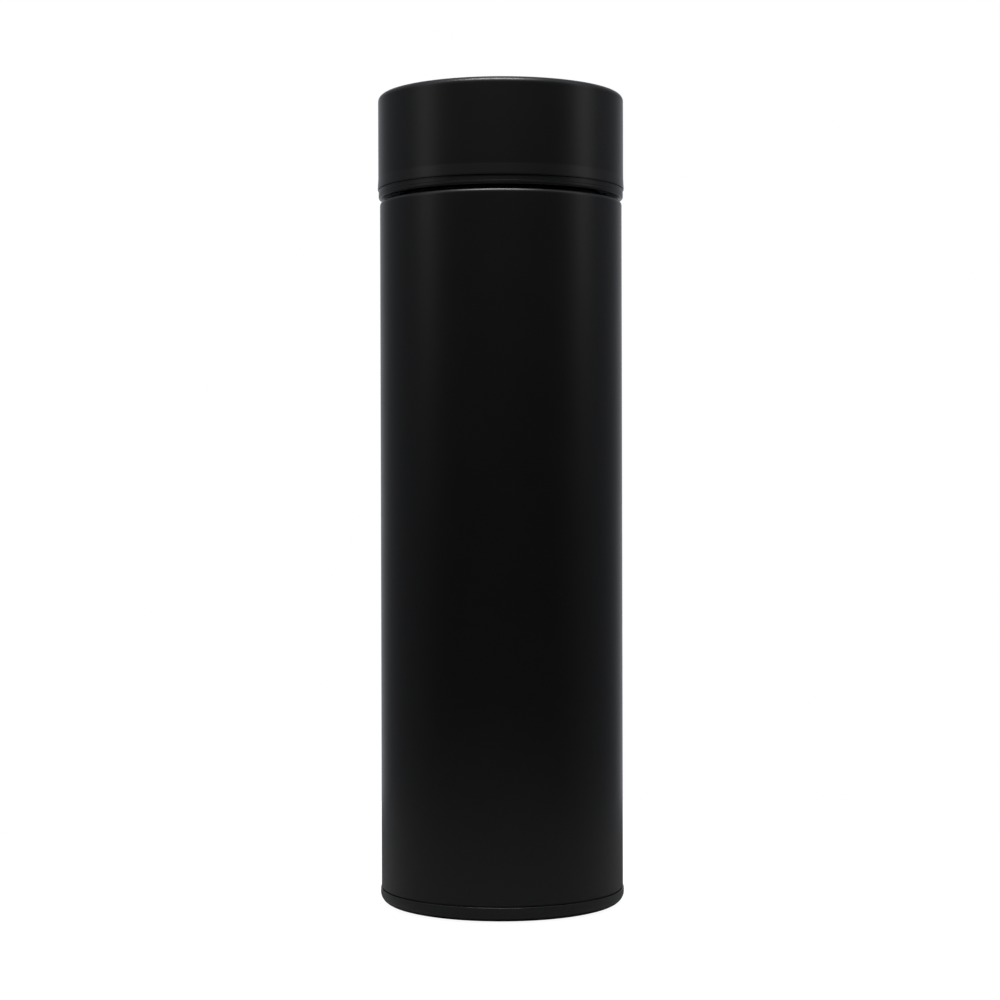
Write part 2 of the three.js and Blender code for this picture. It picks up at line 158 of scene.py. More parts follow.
def buildTurnTree():
    tree = turnTree
    given = addNode(tree, "NodeGroupInput").outputs

    def calc(operation, *values):
        settings = {"operation": operation}
        links = {}
        for i, value in enumerate(values):
            (settings if isinstance(value, (int, float)) else links)[i] = value
        return addNode(tree, "ShaderNodeMath", settings, links).outputs[0]

    rows = addNode(tree, "GeometryNodeAttributeDomainSize", {"component": "MESH"}, {0: given["Outline"]})
    rows = rows.outputs["Point Count"]
    columns = calc("ADD", given["Segments"], 1)
    grid = addNode(tree, "GeometryNodeMeshGrid", {}, {"Vertices X": columns, "Vertices Y": rows})
    index = addNode(tree, "GeometryNodeInputIndex").outputs[0]
    row = calc("MODULO", index, rows)
    turn = calc("DIVIDE", calc("FLOOR", calc("DIVIDE", calc("ADD", index, 0.5), rows)), given["Segments"])
    sample = addNode(
        tree, "GeometryNodeSampleIndex", {"data_type": "FLOAT_VECTOR"},
        {"Geometry": given["Outline"], "Value": addNode(tree, "GeometryNodeInputPosition"), "Index": row},
    )
    point = addNode(tree, "ShaderNodeSeparateXYZ", {}, {0: sample}).outputs

    # Height above or below the nearest ridge, and how far that ridge has risen since its start
    spacing = calc("DIVIDE", given["Thread Lead"], given["Thread Starts"])
    climbed = calc("DIVIDE", calc("SUBTRACT", point["Z"], given["Thread First"]), spacing)
    phase = calc("SUBTRACT", climbed, calc("MULTIPLY", turn, given["Thread Starts"]))
    aside = calc("MULTIPLY", calc("SUBTRACT", phase, calc("ROUND", phase)), spacing)
    risen = calc("SUBTRACT", calc("SUBTRACT", point["Z"], aside), given["Thread First"])
    left = calc("SUBTRACT", calc("SUBTRACT", given["Thread Last"], given["Thread First"]), risen)
    soft = {"interpolation_type": "SMOOTHSTEP"}
    ridge = addNode(
        tree, "ShaderNodeMapRange", soft,
        {"Value": calc("ABSOLUTE", aside), "From Min": given["Thread Foot"],
         "From Max": given["Thread Crest"]},
    )
    growing = addNode(tree, "ShaderNodeMapRange", soft, {"Value": risen, "From Max": given["Thread Fade"]})
    ending = addNode(tree, "ShaderNodeMapRange", soft, {"Value": left, "From Max": given["Thread Fade"]})
    fromWall = calc("ABSOLUTE", calc("SUBTRACT", point["X"], given["Thread Radius"]))
    onWall = calc("LESS_THAN", fromWall, given["Thread Wall"])
    push = calc("MULTIPLY", calc("MULTIPLY", ridge, onWall), calc("MULTIPLY", growing, ending))
    radius = calc("ADD", point["X"], calc("MULTIPLY", push, given["Thread Depth"]))

    angle = calc("MULTIPLY", turn, 2 * pi)
    place = addNode(
        tree, "ShaderNodeCombineXYZ", {},
        {"X": calc("MULTIPLY", radius, calc("COSINE", angle)),
         "Y": calc("MULTIPLY", radius, calc("SINE", angle)), "Z": point["Z"]},
    )
    moved = addNode(tree, "GeometryNodeSetPosition", {}, {"Geometry": grid, "Position": place})
    closed = addNode(tree, "GeometryNodeMergeByDistance", {"Distance": meeting}, {"Geometry": moved})
    smooth = addNode(tree, "GeometryNodeSetShadeSmooth", {}, {"Geometry": closed})
    real = addNode(tree, "GeometryNodeRealizeInstances", {}, {"Geometry": smooth})
    coated = addNode(tree, "GeometryNodeSetMaterial", {}, {"Geometry": real, "Material": given["Material"]})
    addNode(tree, "NodeGroupOutput", {}, {0: coated})


buildTurnTree()


# Geometry Nodes: equal blocks standing round the axis

ribTree = bpy.data.node_groups.new("standingRibs", "GeometryNodeTree")
ribSockets = {}
for socketName, socketKind in (
    ("Count", "Int"), ("Radius", "Float"), ("Height", "Float"), ("Size", "Vector"), ("Material", "Material"),
):
    socket = ribTree.interface.new_socket(socketName, in_out="INPUT",
                                          socket_type="NodeSocket" + socketKind)
    ribSockets[socketName] = socket.identifier
ribTree.interface.new_socket("Mesh", in_out="OUTPUT", socket_type="NodeSocketGeometry")


def buildRibTree():
    tree = ribTree
    given = addNode(tree, "NodeGroupInput").outputs
    ring = addNode(tree, "GeometryNodeMeshCircle", {},
                   {"Vertices": given["Count"], "Radius": given["Radius"]})
    lift = addNode(tree, "ShaderNodeCombineXYZ", {}, {"Z": given["Height"]})
    raised = addNode(tree, "GeometryNodeSetPosition", {}, {"Geometry": ring, "Offset": lift})
    block = addNode(tree, "GeometryNodeMeshCube", {}, {"Size": given["Size"]})
    outward = addNode(tree, "ShaderNodeVectorMath", {"operation": "MULTIPLY", 1: (1, 1, 0)},
                      {0: addNode(tree, "GeometryNodeInputPosition")})
    facing = addNode(tree, "FunctionNodeAlignRotationToVector", {"axis": "X"}, {"Vector": outward})
    stood = addNode(tree, "GeometryNodeInstanceOnPoints", {},
                    {"Points": raised, "Instance": block, "Rotation": facing})
    real = addNode(tree, "GeometryNodeRealizeInstances", {}, {"Geometry": stood})
    coated = addNode(tree, "GeometryNodeSetMaterial", {}, {"Geometry": real, "Material": given["Material"]})
    addNode(tree, "NodeGroupOutput", {}, {0: coated})


buildRibTree()
print("node trees built")


# Making a piece

def roundedOutline(corners, arcSteps):
    margin = 1.3
    points = []
    for i, corner in enumerate(corners):
        here = Vector(corner[:2])
        rounding = corner[2] if len(corner) > 2 else 0
        if not rounding:
            points.append(here)
            continue
        back = Vector(corners[i - 1][:2]) - here
        ahead = Vector(corners[(i + 1) % len(corners)][:2]) - here
        half = back.angle(ahead) / 2
        reach = rounding / tan(half)
        centre = here + (back.normalized() + ahead.normalized()).normalized() * rounding / sin(half)
        first = here + back.normalized() * reach - centre
        last = here + ahead.normalized() * reach - centre
        sweep = first.angle(last)
        # a row just outside each end of the arc keeps the flat beside it flat in the shading
        points.append(here + back.normalized() * min(reach * margin, (reach + back.length) / 2))
        for step in range(arcSteps + 1):
            part = step / arcSteps
            points.append(centre + (first * sin((1 - part) * sweep) + last * sin(part * sweep)) / sin(sweep))
        points.append(here + ahead.normalized() * min(reach * margin, (reach + ahead.length) / 2))
    return points


def stretch(start, end, step):  # points a step apart, from one corner to the next
    start, end = Vector(start), Vector(end)
    count = max(1, round((end - start).length / step))
    return [tuple(start.lerp(end, i / count)) for i in range(count + 1)]


def plainMesh(holder):  # the evaluated mesh, cleaned and facing outwards
    made = bpy.data.meshes.new_from_object(holder.evaluated_get(bpy.context.evaluated_depsgraph_get()))
    shape = bmesh.new()
    shape.from_mesh(made)
    bmesh.ops.remove_doubles(shape, verts=shape.verts, dist=meeting)
    bmesh.ops.recalc_face_normals(shape, faces=shape.faces)
    if shape.calc_volume(signed=True) < 0:
        bmesh.ops.reverse_faces(shape, faces=shape.faces)
    shape.to_mesh(made)
    shape.free()
    return made


def fitPiece(piece, mesh, body, node):
    piece.modifiers.clear()
    piece.data = mesh
    mesh.name = piece.name
    mesh.set_sharp_from_angle(angle=sharpFrom)
    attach(piece, body)
    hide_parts(node)
    return piece


def turnPiece(name, corners, material, body, node, arcSteps=6, segments=192, thread=None):
    outline = roundedOutline(corners, arcSteps)
    if min(point.x for point in outline) > 0:
        outline.append(outline[0])
    else:
        while outline[0].x > 0 or outline[-1].x > 0:
            outline.append(outline.pop(0))
    mesh = bpy.data.meshes.new(name)
    mesh.from_pydata([(point.x * mm, 0, point.y * mm) for point in outline], [], [])
    piece = bpy.data.objects.new(name, mesh)
    scene.collection.objects.link(piece)
    turning = piece.modifiers.new("turning", "NODES")
    turning.node_group = turnTree
    turning[turnSockets["Segments"]] = segments
    turning[turnSockets["Material"]] = material
    for key, value in (thread or {}).items():
        turning[turnSockets[key]] = value
    return fitPiece(piece, plainMesh(piece), body, node)


def threadInputs(radius, wall, depth, first):
    return {
        "Thread Radius": radius * mm, "Thread Wall": wall * mm, "Thread Depth": depth * mm,
        "Thread Lead": shared["threadLead"] * mm, "Thread Starts": float(shared["threadStarts"]),
        "Thread First": first * mm, "Thread Last": (mouth - shared["threadRunOut"]) * mm,
        "Thread Fade": shared["threadFade"] * mm, "Thread Foot": shared["threadFoot"] / 2 * mm,
        "Thread Crest": shared["threadCrest"] / 2 * mm,
    }


# Materials

def newMaterial(name):
    material = bpy.data.materials.new(name)
    material.use_nodes = True
    tree = material.node_tree
    surface = tree.nodes["Principled BSDF"]
    where = addNode(tree, "ShaderNodeTexCoord").outputs["Object"]
    return material, tree, surface, where


# Satin polyester powder coat: a dielectric skin, very dark, with a soft sheen and a faint orange peel
def makePowderCoat():
    look = {"colour": "#060607", "roughness": 0.36, "patchy": 0.03, "handledSize": 22,
            "peelSize": 1.6, "peelDepth": 0.02, "peelStrength": 0.10,
            "grainSize": 0.28, "grainDepth": 0.01, "grainStrength": 0.18}
    material, tree, surface, where = newMaterial("satinBlackPowderCoat")
    surface.inputs["Base Color"].default_value = toLinear(look["colour"])
    surface.inputs["IOR"].default_value = 1.5
    peel = addNode(tree, "ShaderNodeTexNoise", {"Scale": 1 / (look["peelSize"] * mm), "Detail": 1.0},
                   {"Vector": where})  # the real peel's waves are 1 to 2 mm apart
    grain = addNode(tree, "ShaderNodeTexNoise", {"Scale": 1 / (look["grainSize"] * mm), "Detail": 2.0},
                    {"Vector": where})  # powder grains are 0.05 mm, drawn at 0.28 mm so that they show
    handled = addNode(tree, "ShaderNodeTexNoise", {"Scale": 1 / (look["handledSize"] * mm), "Detail": 3.0},
                      {"Vector": where})
    sheen = addNode(
        tree, "ShaderNodeMapRange",
        {"To Min": look["roughness"] - look["patchy"], "To Max": look["roughness"] + look["patchy"]},
        {"Value": handled},
    )
    coarse = addNode(tree, "ShaderNodeBump",
                     {"Strength": look["peelStrength"], "Distance": look["peelDepth"] * mm}, {"Height": peel})
    fine = addNode(tree, "ShaderNodeBump",
                   {"Strength": look["grainStrength"], "Distance": look["grainDepth"] * mm},
                   {"Height": grain, "Normal": coarse})
    tree.links.new(sheen.outputs[0], surface.inputs["Roughness"])
    tree.links.new(fine.outputs[0], surface.inputs["Normal"])
    return material


# Moulded polypropylene: a waxy dielectric with a fine spark-eroded mould texture
def makeMouldedPlastic(name, colour, roughness):
    look = {"pitSize": 0.22, "pitDepth": 0.012, "pitStrength": 0.12, "flowSize": 9,
            "shinier": 0.04, "duller": 0.05}
    material, tree, surface, where = newMaterial(name)
    surface.inputs["Base Color"].default_value = toLinear(colour)
    surface.inputs["IOR"].default_value = 1.49
    eroded = addNode(tree, "ShaderNodeTexVoronoi", {"Scale": 1 / (look["pitSize"] * mm)},
                     {"Vector": where})  # pits of 0.1 mm, drawn at 0.22 mm so that they show
    flow = addNode(tree, "ShaderNodeTexNoise", {"Scale": 1 / (look["flowSize"] * mm), "Detail": 2.0},
                   {"Vector": where})
    sheen = addNode(tree, "ShaderNodeMapRange",
                    {"To Min": roughness - look["shinier"], "To Max": roughness + look["duller"]},
                    {"Value": flow})
    pits = addNode(tree, "ShaderNodeBump",
                   {"Strength": look["pitStrength"], "Distance": look["pitDepth"] * mm}, {"Height": eroded})
    tree.links.new(sheen.outputs[0], surface.inputs["Roughness"])
    tree.links.new(pits.outputs[0], surface.inputs["Normal"])
    return material


# Stainless steel, spun or electropolished: a grey metal whose fine lines run round the axis
def makeSteel(name, colour, roughness, lineStrength):
    look = {"lineSize": 0.25, "lineDepth": 0.01, "lineDrift": 0.6, "cloudSize": 14,
            "shinier": 0.05, "duller": 0.07}
    material, tree, surface, where = newMaterial(name)
    surface.inputs["Base Color"].default_value = toLinear(colour)
    surface.inputs["Metallic"].default_value = 1.0
    axes = addNode(tree, "ShaderNodeSeparateXYZ", {}, {0: where}).outputs
    flat = addNode(tree, "ShaderNodeCombineXYZ", {}, {"X": axes["X"], "Y": axes["Y"]})
    across = addNode(tree, "ShaderNodeVectorMath", {"operation": "LENGTH"}, {0: flat}).outputs["Value"]
    around = addNode(tree, "ShaderNodeMath", {"operation": "ARCTAN2"}, {0: axes["Y"], 1: axes["X"]})
    slow = addNode(tree, "ShaderNodeMath", {"operation": "MULTIPLY", 1: look["lineDrift"] * mm}, {0: around})
    rings = addNode(tree, "ShaderNodeCombineXYZ", {}, {"X": across, "Y": slow, "Z": axes["Z"]})
    lines = addNode(tree, "ShaderNodeTexNoise", {"Scale": 1 / (look["lineSize"] * mm), "Detail": 3.0},
                    {"Vector": rings})  # polishing lines are about 0.1 mm apart, drawn at 0.25 mm
    cloud = addNode(tree, "ShaderNodeTexNoise", {"Scale": 1 / (look["cloudSize"] * mm), "Detail": 2.0},
                    {"Vector": where})
    sheen = addNode(tree, "ShaderNodeMapRange",
                    {"To Min": roughness - look["shinier"], "To Max": roughness + look["duller"]},
                    {"Value": cloud})
    scratched = addNode(tree, "ShaderNodeBump",
                        {"Strength": lineStrength, "Distance": look["lineDepth"] * mm}, {"Height": lines})
    tree.links.new(sheen.outputs[0], surface.inputs["Roughness"])
    tree.links.new(scratched.outputs[0], surface.inputs["Normal"])
    return material


# Copper foil: a bright warm metal, a little crumpled from winding
def makeCopper():
    look = {"colour": "#c67a58", "shiny": 0.18, "dull": 0.42, "dullSize": 5,
            "creaseSize": 9, "creaseDepth": 0.2, "creaseStrength": 0.35}
    material, tree, surface, where = newMaterial("woundCopperFoil")
    surface.inputs["Base Color"].default_value = toLinear(look["colour"])
    surface.inputs["Metallic"].default_value = 1.0
    creases = addNode(tree, "ShaderNodeTexVoronoi",
                      {"feature": "DISTANCE_TO_EDGE", "Scale": 1 / (look["creaseSize"] * mm)},
                      {"Vector": where})  # creases about 9 mm apart
    dull = addNode(tree, "ShaderNodeTexNoise", {"Scale": 1 / (look["dullSize"] * mm), "Detail": 4.0},
                   {"Vector": where})
    sheen = addNode(tree, "ShaderNodeMapRange", {"To Min": look["shiny"], "To Max": look["dull"]},
                    {"Value": dull})
    bent = addNode(tree, "ShaderNodeBump",
                   {"Strength": look["creaseStrength"], "Distance": look["creaseDepth"] * mm},
                   {"Height": creases})
    tree.links.new(sheen.outputs[0], surface.inputs["Roughness"])
    tree.links.new(bent.outputs[0], surface.inputs["Normal"])
    return material


# Silicone rubber and foot rubber: soft dielectrics, matt, with a fine bloom
def makeRubber(name, colour, roughness, translucence):
    look = {"reach": (1.2, 1.0, 0.9), "patchy": 0.06,
            "bloomSize": 0.35, "bloomDepth": 0.02, "bloomStrength": 0.25}
    material, tree, surface, where = newMaterial(name)
    surface.inputs["Base Color"].default_value = toLinear(colour)
    surface.inputs["IOR"].default_value = 1.43
    surface.inputs["Subsurface Weight"].default_value = translucence
    surface.inputs["Subsurface Radius"].default_value = [distance * mm for distance in look["reach"]]
    surface.inputs["Subsurface Scale"].default_value = 1.0
    bloom = addNode(tree, "ShaderNodeTexNoise", {"Scale": 1 / (look["bloomSize"] * mm), "Detail": 3.0},
                    {"Vector": where})  # mould texture of about 0.1 mm, drawn at 0.35 mm
    sheen = addNode(tree, "ShaderNodeMapRange",
                    {"To Min": roughness - look["patchy"], "To Max": roughness + look["patchy"]},
                    {"Value": bloom})
    skin = addNode(tree, "ShaderNodeBump",
                   {"Strength": look["bloomStrength"], "Distance": look["bloomDepth"] * mm},
                   {"Height": bloom})
    tree.links.new(sheen.outputs[0], surface.inputs["Roughness"])
    tree.links.new(skin.outputs[0], surface.inputs["Normal"])
    return material


# Closed-cell polyethylene foam: white, chalky, with cells under a millimetre, and painted shade in the cells'
# hollows
def makeFoam():
    look = {"skin": "#f1eee6", "shadedHollows": "#cfcbc0", "roughness": 0.95,
            "cellSize": 0.8, "cellDepth": 0.2, "cellStrength": 0.5}
    material, tree, surface, where = newMaterial("closedCellFoam")
    cells = addNode(tree, "ShaderNodeTexVoronoi", {"Scale": 1 / (look["cellSize"] * mm)}, {"Vector": where})
    # painted shade: the colour darkens away from each cell's centre, into its hollow
    tint = addNode(tree, "ShaderNodeMix",
                   {"data_type": "RGBA", 6: toLinear(look["skin"]), 7: toLinear(look["shadedHollows"])},
                   {0: cells.outputs["Distance"]})
    dents = addNode(tree, "ShaderNodeBump",
                    {"Strength": look["cellStrength"], "Distance": look["cellDepth"] * mm},
                    {"Height": cells})
    surface.inputs["Roughness"].default_value = look["roughness"]
    tree.links.new(tint.outputs[2], surface.inputs["Base Color"])
    tree.links.new(dents.outputs[0], surface.inputs["Normal"])
    return material


# Solder glass, fused over the evacuation hole: dark, glossy, with trapped bubbles
def makeSolderGlass():
    look = {"bubbles": "#56626c", "clear": "#2a3138", "roughness": 0.08, "bubbleSize": 0.7}
    material, tree, surface, where = newMaterial("fusedSolderGlass")
    surface.inputs["IOR"].default_value = 1.7
    surface.inputs["Roughness"].default_value = look["roughness"]
    bubbles = addNode(tree, "ShaderNodeTexVoronoi", {"Scale": 1 / (look["bubbleSize"] * mm)},
                      {"Vector": where})
    tint = addNode(tree, "ShaderNodeMix",
                   {"data_type": "RGBA", 6: toLinear(look["bubbles"]), 7: toLinear(look["clear"])},
                   {0: bubbles.outputs["Distance"]})
    tree.links.new(tint.outputs[2], surface.inputs["Base Color"])
    return material


# Getter: pressed metal powder, dull grey and grainy, with painted shade in the hollows between grains
def makePressedPowder():
    look = {"crests": "#7c7a77", "shadedHollows": "#4c4b49", "roughness": 0.62,
            "grainSize": 0.3, "grainDepth": 0.05, "grainStrength": 0.4}
    material, tree, surface, where = newMaterial("pressedGetterPowder")
    grains = addNode(tree, "ShaderNodeTexVoronoi", {"Scale": 1 / (look["grainSize"] * mm)},
                     {"Vector": where})
    # painted shade: the colour darkens away from each grain's centre, into the hollows between grains
    tint = addNode(tree, "ShaderNodeMix",
                   {"data_type": "RGBA", 6: toLinear(look["crests"]), 7: toLinear(look["shadedHollows"])},
                   {0: grains.outputs["Distance"]})
    rough = addNode(tree, "ShaderNodeBump",
                    {"Strength": look["grainStrength"], "Distance": look["grainDepth"] * mm},
                    {"Height": grains})
    surface.inputs["Metallic"].default_value = 1.0
    surface.inputs["Roughness"].default_value = look["roughness"]
    tree.links.new(tint.outputs[2], surface.inputs["Base Color"])
    tree.links.new(rough.outputs[0], surface.inputs["Normal"])
    return material


powderCoat = makePowderCoat()
blackPlastic = makeMouldedPlastic("mouldedBlackPolypropylene", "#0e0f10", 0.36)
greyPlastic = makeMouldedPlastic("mouldedGreyPolypropylene", "#2b2d2f", 0.44)
polishedSteel = makeSteel("electropolishedSteel", "#c8c9ca", 0.20, 0.10)
satinSteel = makeSteel("satinRolledSteel", "#c6c7c8", 0.33, 0.12)
spunSteel = makeSteel("spunBrushedSteel", "#c3c4c6", 0.28, 0.30)
copperFoil = makeCopper()
silicone = makeRubber("translucentSilicone", "#d6d7d2", 0.45, 0.35)
footRubber = makeRubber("mattFootRubber", "#161718", 0.78, 0.0)
whiteFoam = makeFoam()
solderGlass = makeSolderGlass()
getterPowder = makePressedPowder()
print("materials made")


# Bottle: the coated wall up to its shoulder, and the bare rolled neck

bottle = {
    "stepRound": 0.15,  # lower edge of the wall
    "shoulderRound": 1.1,
    "neckFootRound": 1.2,
    "seam": 0.35,  # height of the groove over the base cup
    "ledge": 0.22,  # its depth
    "ledgeGap": 0.1,
    "ledgeRound": 0.08,
    "grooveRound": 0.05,
    "footRound": 0.1,
    "coat": 0.06,  # thickness of the coat
    "coatMargin": 0.7,  # bare steel between the coat and the neck
}
coatEdge = neckRadius + bottle["neckFootRound"] + bottle["coatMargin"]  # the coat ends on the shoulder


def makeBottleWall():
    footRadius = coverRadius - shared["footWall"] - gap  # outside of the foot, within the base cover's rim
    step = coverTop + bottle["seam"]
    thick = shared["shellWall"]
    ledge = bodyRadius - bottle["ledge"]
    corners = [
        (footRadius, bottleFoot, bottle["footRound"]),
        (footRadius, coverTop + bottle["ledgeGap"], bottle["footRound"]),
        (ledge, coverTop + bottle["ledgeGap"], bottle["ledgeRound"]),
        (ledge, step, bottle["grooveRound"]),  # bottom of the groove over the base cup
        (bodyRadius, step, bottle["stepRound"]),
        (bodyRadius, shoulder, bottle["shoulderRound"]),
        (coatEdge, shoulder, bottle["coat"]),
        (coatEdge, shoulder - thick),
        (bodyRadius - thick, shoulder - thick, bottle["shoulderRound"] - thick),
        (bodyRadius - thick, step + thick, bottle["stepRound"]),
        (footRadius - thick, step + thick, bottle["stepRound"]),
        (footRadius - thick, bottleFoot, bottle["footRound"]),
    ]
    return turnPiece("bottle_wall", corners, powderCoat, "flask", "outer_shell", arcSteps=7)


def makeNeck():
    neck = {"belowThread": 1.8, "aboveThread": 0.5}  # plain wall at either end of the finely drawn part
    thick = shared["shellWall"]
    runLow, runHigh = shoulder + neck["belowThread"], neckTop - neck["aboveThread"]
    inner = neckRadius - thick
    bare = shoulder - bottle["coat"]
    edge = coatEdge - shared["seamGap"]
    corners = [
        (edge, bare),
        (neckRadius, bare, bottle["neckFootRound"]),
        *stretch((neckRadius, runLow), (neckRadius, runHigh), shared["threadStep"]),
        (neckRadius, neckTop),
        (inner, neckTop),
        *stretch((inner, runHigh), (inner, runLow), shared["threadStep"]),
        (inner, bare - thick, bottle["neckFootRound"] + thick),
        (edge, bare - thick),
    ]
    thread = threadInputs(neckRadius, thick + shared["threadReach"], shared["threadDepth"],
                          shoulder + shared["threadRunIn"])
    return turnPiece("bottle_neck", corners, satinSteel, "flask", "outer_shell",
                     arcSteps=7, segments=256, thread=thread)


def makeLiner():
    liner = {"taperHeight": 11, "taperDrop": 3.2, "taperRound": 8, "lip": 0.8}
    thick = shared["linerWall"]
    taperTop = shoulder - liner["taperDrop"]
    taperLow = taperTop - liner["taperHeight"]
    neckOut = mouthRadius + thick
    seam = shared["seamGap"]
    corners = [
        (linerRadius, linerLow),
        (linerRadius, taperLow, liner["taperRound"]),
        (neckOut, taperTop, liner["taperRound"]),
        (neckOut, neckTop + seam),
        (neckRadius - seam, neckTop + seam),  # the lip is welded on the end of the outer neck
        (neckRadius, mouth, liner["lip"] / 2),
        (mouthRadius, mouth, liner["lip"]),
        (mouthRadius, taperTop, liner["taperRound"]),
        (linerRadius - thick, taperLow, liner["taperRound"]),
        (linerRadius - thick, linerLow),
    ]
    return turnPiece("mouth_and_liner", corners, polishedSteel, "flask", "inner_liner")


def makeLinerFloor():
    floor = {"rimRound": 5, "dish": 1.2, "dishRound": 1.5, "flat": 15, "bead": 0.12}
    radius, low, high = placeOf("liner_base")
    thick = shared["linerWall"]
    foot = floor["flat"] + 2 * floor["dish"]
    bead = floor["bead"]
    weld = high + gap - shared["seamGap"]
    corners = [
        (0, low + floor["dish"]),
        (floor["flat"], low + floor["dish"], floor["dishRound"]),
        (foot, low, floor["dishRound"]),
        (radius, low, floor["rimRound"]),
        (radius, weld),
        (radius - thick, weld),
        (radius - thick - bead, high + gap / 2, bead * 0.9),  # the weld stands a little proud inside
        (radius - thick, high),
        (radius - thick, low + thick, floor["rimRound"] - thick),
        (foot, low + thick, floor["dishRound"]),
        (floor["flat"], low + floor["dish"] + thick, floor["dishRound"]),
        (0, low + floor["dish"] + thick),
    ]
    return turnPiece("liner_floor", corners, polishedSteel, "flask", "liner_base")


def makeBaseCover():
    cover = {"floor": 1, "round": 2.8, "rimRound": 0.12, "innerRound": 0.1, "recess": 0.5, "step": 1,
             "stepRound": 0.2, "seatRound": 0.15}
    padRadius, _, padTop = placeOf("foot_pad")
    seat = padTop + gap
    padInner = padRadius - shared["padWidth"]
    inside = coverRadius - shared["footWall"]
    floorTop = seat + cover["floor"]
    step = padInner - gap - cover["step"]
    corners = [
        (0, coverLow + cover["recess"]),
        (step, coverLow + cover["recess"], cover["stepRound"]),
        (step, coverLow, cover["stepRound"]),
        (padInner - gap, coverLow, cover["seatRound"]),
        (padInner - gap, seat),
        (padRadius + gap, seat),
        (padRadius + gap, coverLow, cover["seatRound"]),
        (coverRadius, coverLow, cover["round"]),
        (coverRadius, coverTop, cover["rimRound"]),
        (inside, coverTop, cover["innerRound"]),
        (inside, floorTop),
        (0, floorTop),
    ]
    return turnPiece("base_cup", corners, blackPlastic, "flask", "base_cover", arcSteps=8)


def makeFootPad():
    pad = {"grooves": 6, "grooveWidth": 0.5, "grooveDepth": 0.25, "grooveFloor": 0.6, "grooveRound": 0.06,
           "round": 0.2, "topRound": 0.1}
    radius, low, high = placeOf("foot_pad")
    inner = radius - shared["padWidth"]
    pitch = shared["padWidth"] / (pad["grooves"] + 1)
    deep = low + pad["grooveDepth"]
    soft = pad["grooveRound"]
    corners = [(inner, low, pad["round"])]
    for i in range(pad["grooves"]):  # grip rings in the sole
        middle = inner + pitch * (i + 1)
        half = pad["grooveWidth"] / 2
        corners += [
            (middle - half, low, soft), (middle - half * pad["grooveFloor"], deep, soft),
            (middle + half * pad["grooveFloor"], deep, soft), (middle + half, low, soft),
        ]
    corners += [(radius, low, pad["round"]), (radius, high, pad["topRound"]), (inner, high, pad["topRound"])]
    return turnPiece("grip_ring", corners, footRubber, "flask", "foot_pad", arcSteps=4)


makeBottleWall()
makeNeck()
makeLiner()
makeLinerFloor()
makeBaseCover()
makeFootPad()
print("bottle made")


# Lid: the cover, its trim ring, the moulded inside with the other half of the thread, and the seal

def makeLidCover():
    cover = {
        "round": 1.5,
        "flare": 0.15,  # the side stands out by this at the lower edge
        "flareLow": 0.4, "flareLowRound": 2,
        "flareHigh": 3, "flareHighRound": 8,
        "hem": 0.9,  # lower edge, folded in under the moulded inside
        "hemRound": 0.12, "edgeRound": 0.06, "foldRound": 0.1,
    }
    wall = shared["lidWall"]
    side = lidRadius - cover["flare"]
    inside = side - wall
    corners = [
        (inside - cover["hem"], hemLow, cover["hemRound"]),
        (lidRadius, hemLow, cover["edgeRound"]),
        (lidRadius, hemLow + cover["flareLow"], cover["flareLowRound"]),
        (side, hemLow + cover["flareHigh"], cover["flareHighRound"]),
        (side, lidTop, cover["round"]),
        (0, lidTop),
        (0, lidTop - wall),
        (inside, lidTop - wall, cover["round"] - wall),
        (inside, hemLow + wall, cover["foldRound"]),
        (inside - cover["hem"], hemLow + wall, cover["hemRound"]),
    ]
    return turnPiece("lid_cover", corners, powderCoat, "lid", "lid_shell", arcSteps=8)


def makeTrimRing():
    trim = {"round": 0.5, "topRound": 0.06, "innerRound": 0.15, "wall": 1.2,
            "underHem": 0.05,  # open line between the ring and the lid's hem
            "inset": 0.1,  # the ring stands in from the lid's side by this
            "crease": 1.1, "creaseWidth": 0.16, "creaseDepth": 0.09, "creaseRound": 0.04, "creaseFloor": 0.03}
    # the collar stands within the lid cover and the cap's outer skirt
    collar = trimRadius + trim["inset"] - shared["lidWall"] - gap - shared["capSkirt"] - gap
    ringTop = hemLow - trim["underHem"]
    crease = lidSeat + trim["crease"]
    half = trim["creaseWidth"] / 2
    innerWall = collar - trim["wall"]
    corners = [
        (innerWall, lidSeat, trim["innerRound"]),
        (trimRadius, lidSeat, trim["round"]),
        (trimRadius, crease - half, trim["creaseRound"]),
        (trimRadius - trim["creaseDepth"], crease, trim["creaseFloor"]),
        (trimRadius, crease + half, trim["creaseRound"]),
        (trimRadius, ringTop, trim["topRound"]),
        (collar, ringTop),
        (collar, trimTop),
        (innerWall, trimTop),
    ]
    return turnPiece("trim_ring", corners, blackPlastic, "lid", "lid_trim_ring", arcSteps=6)


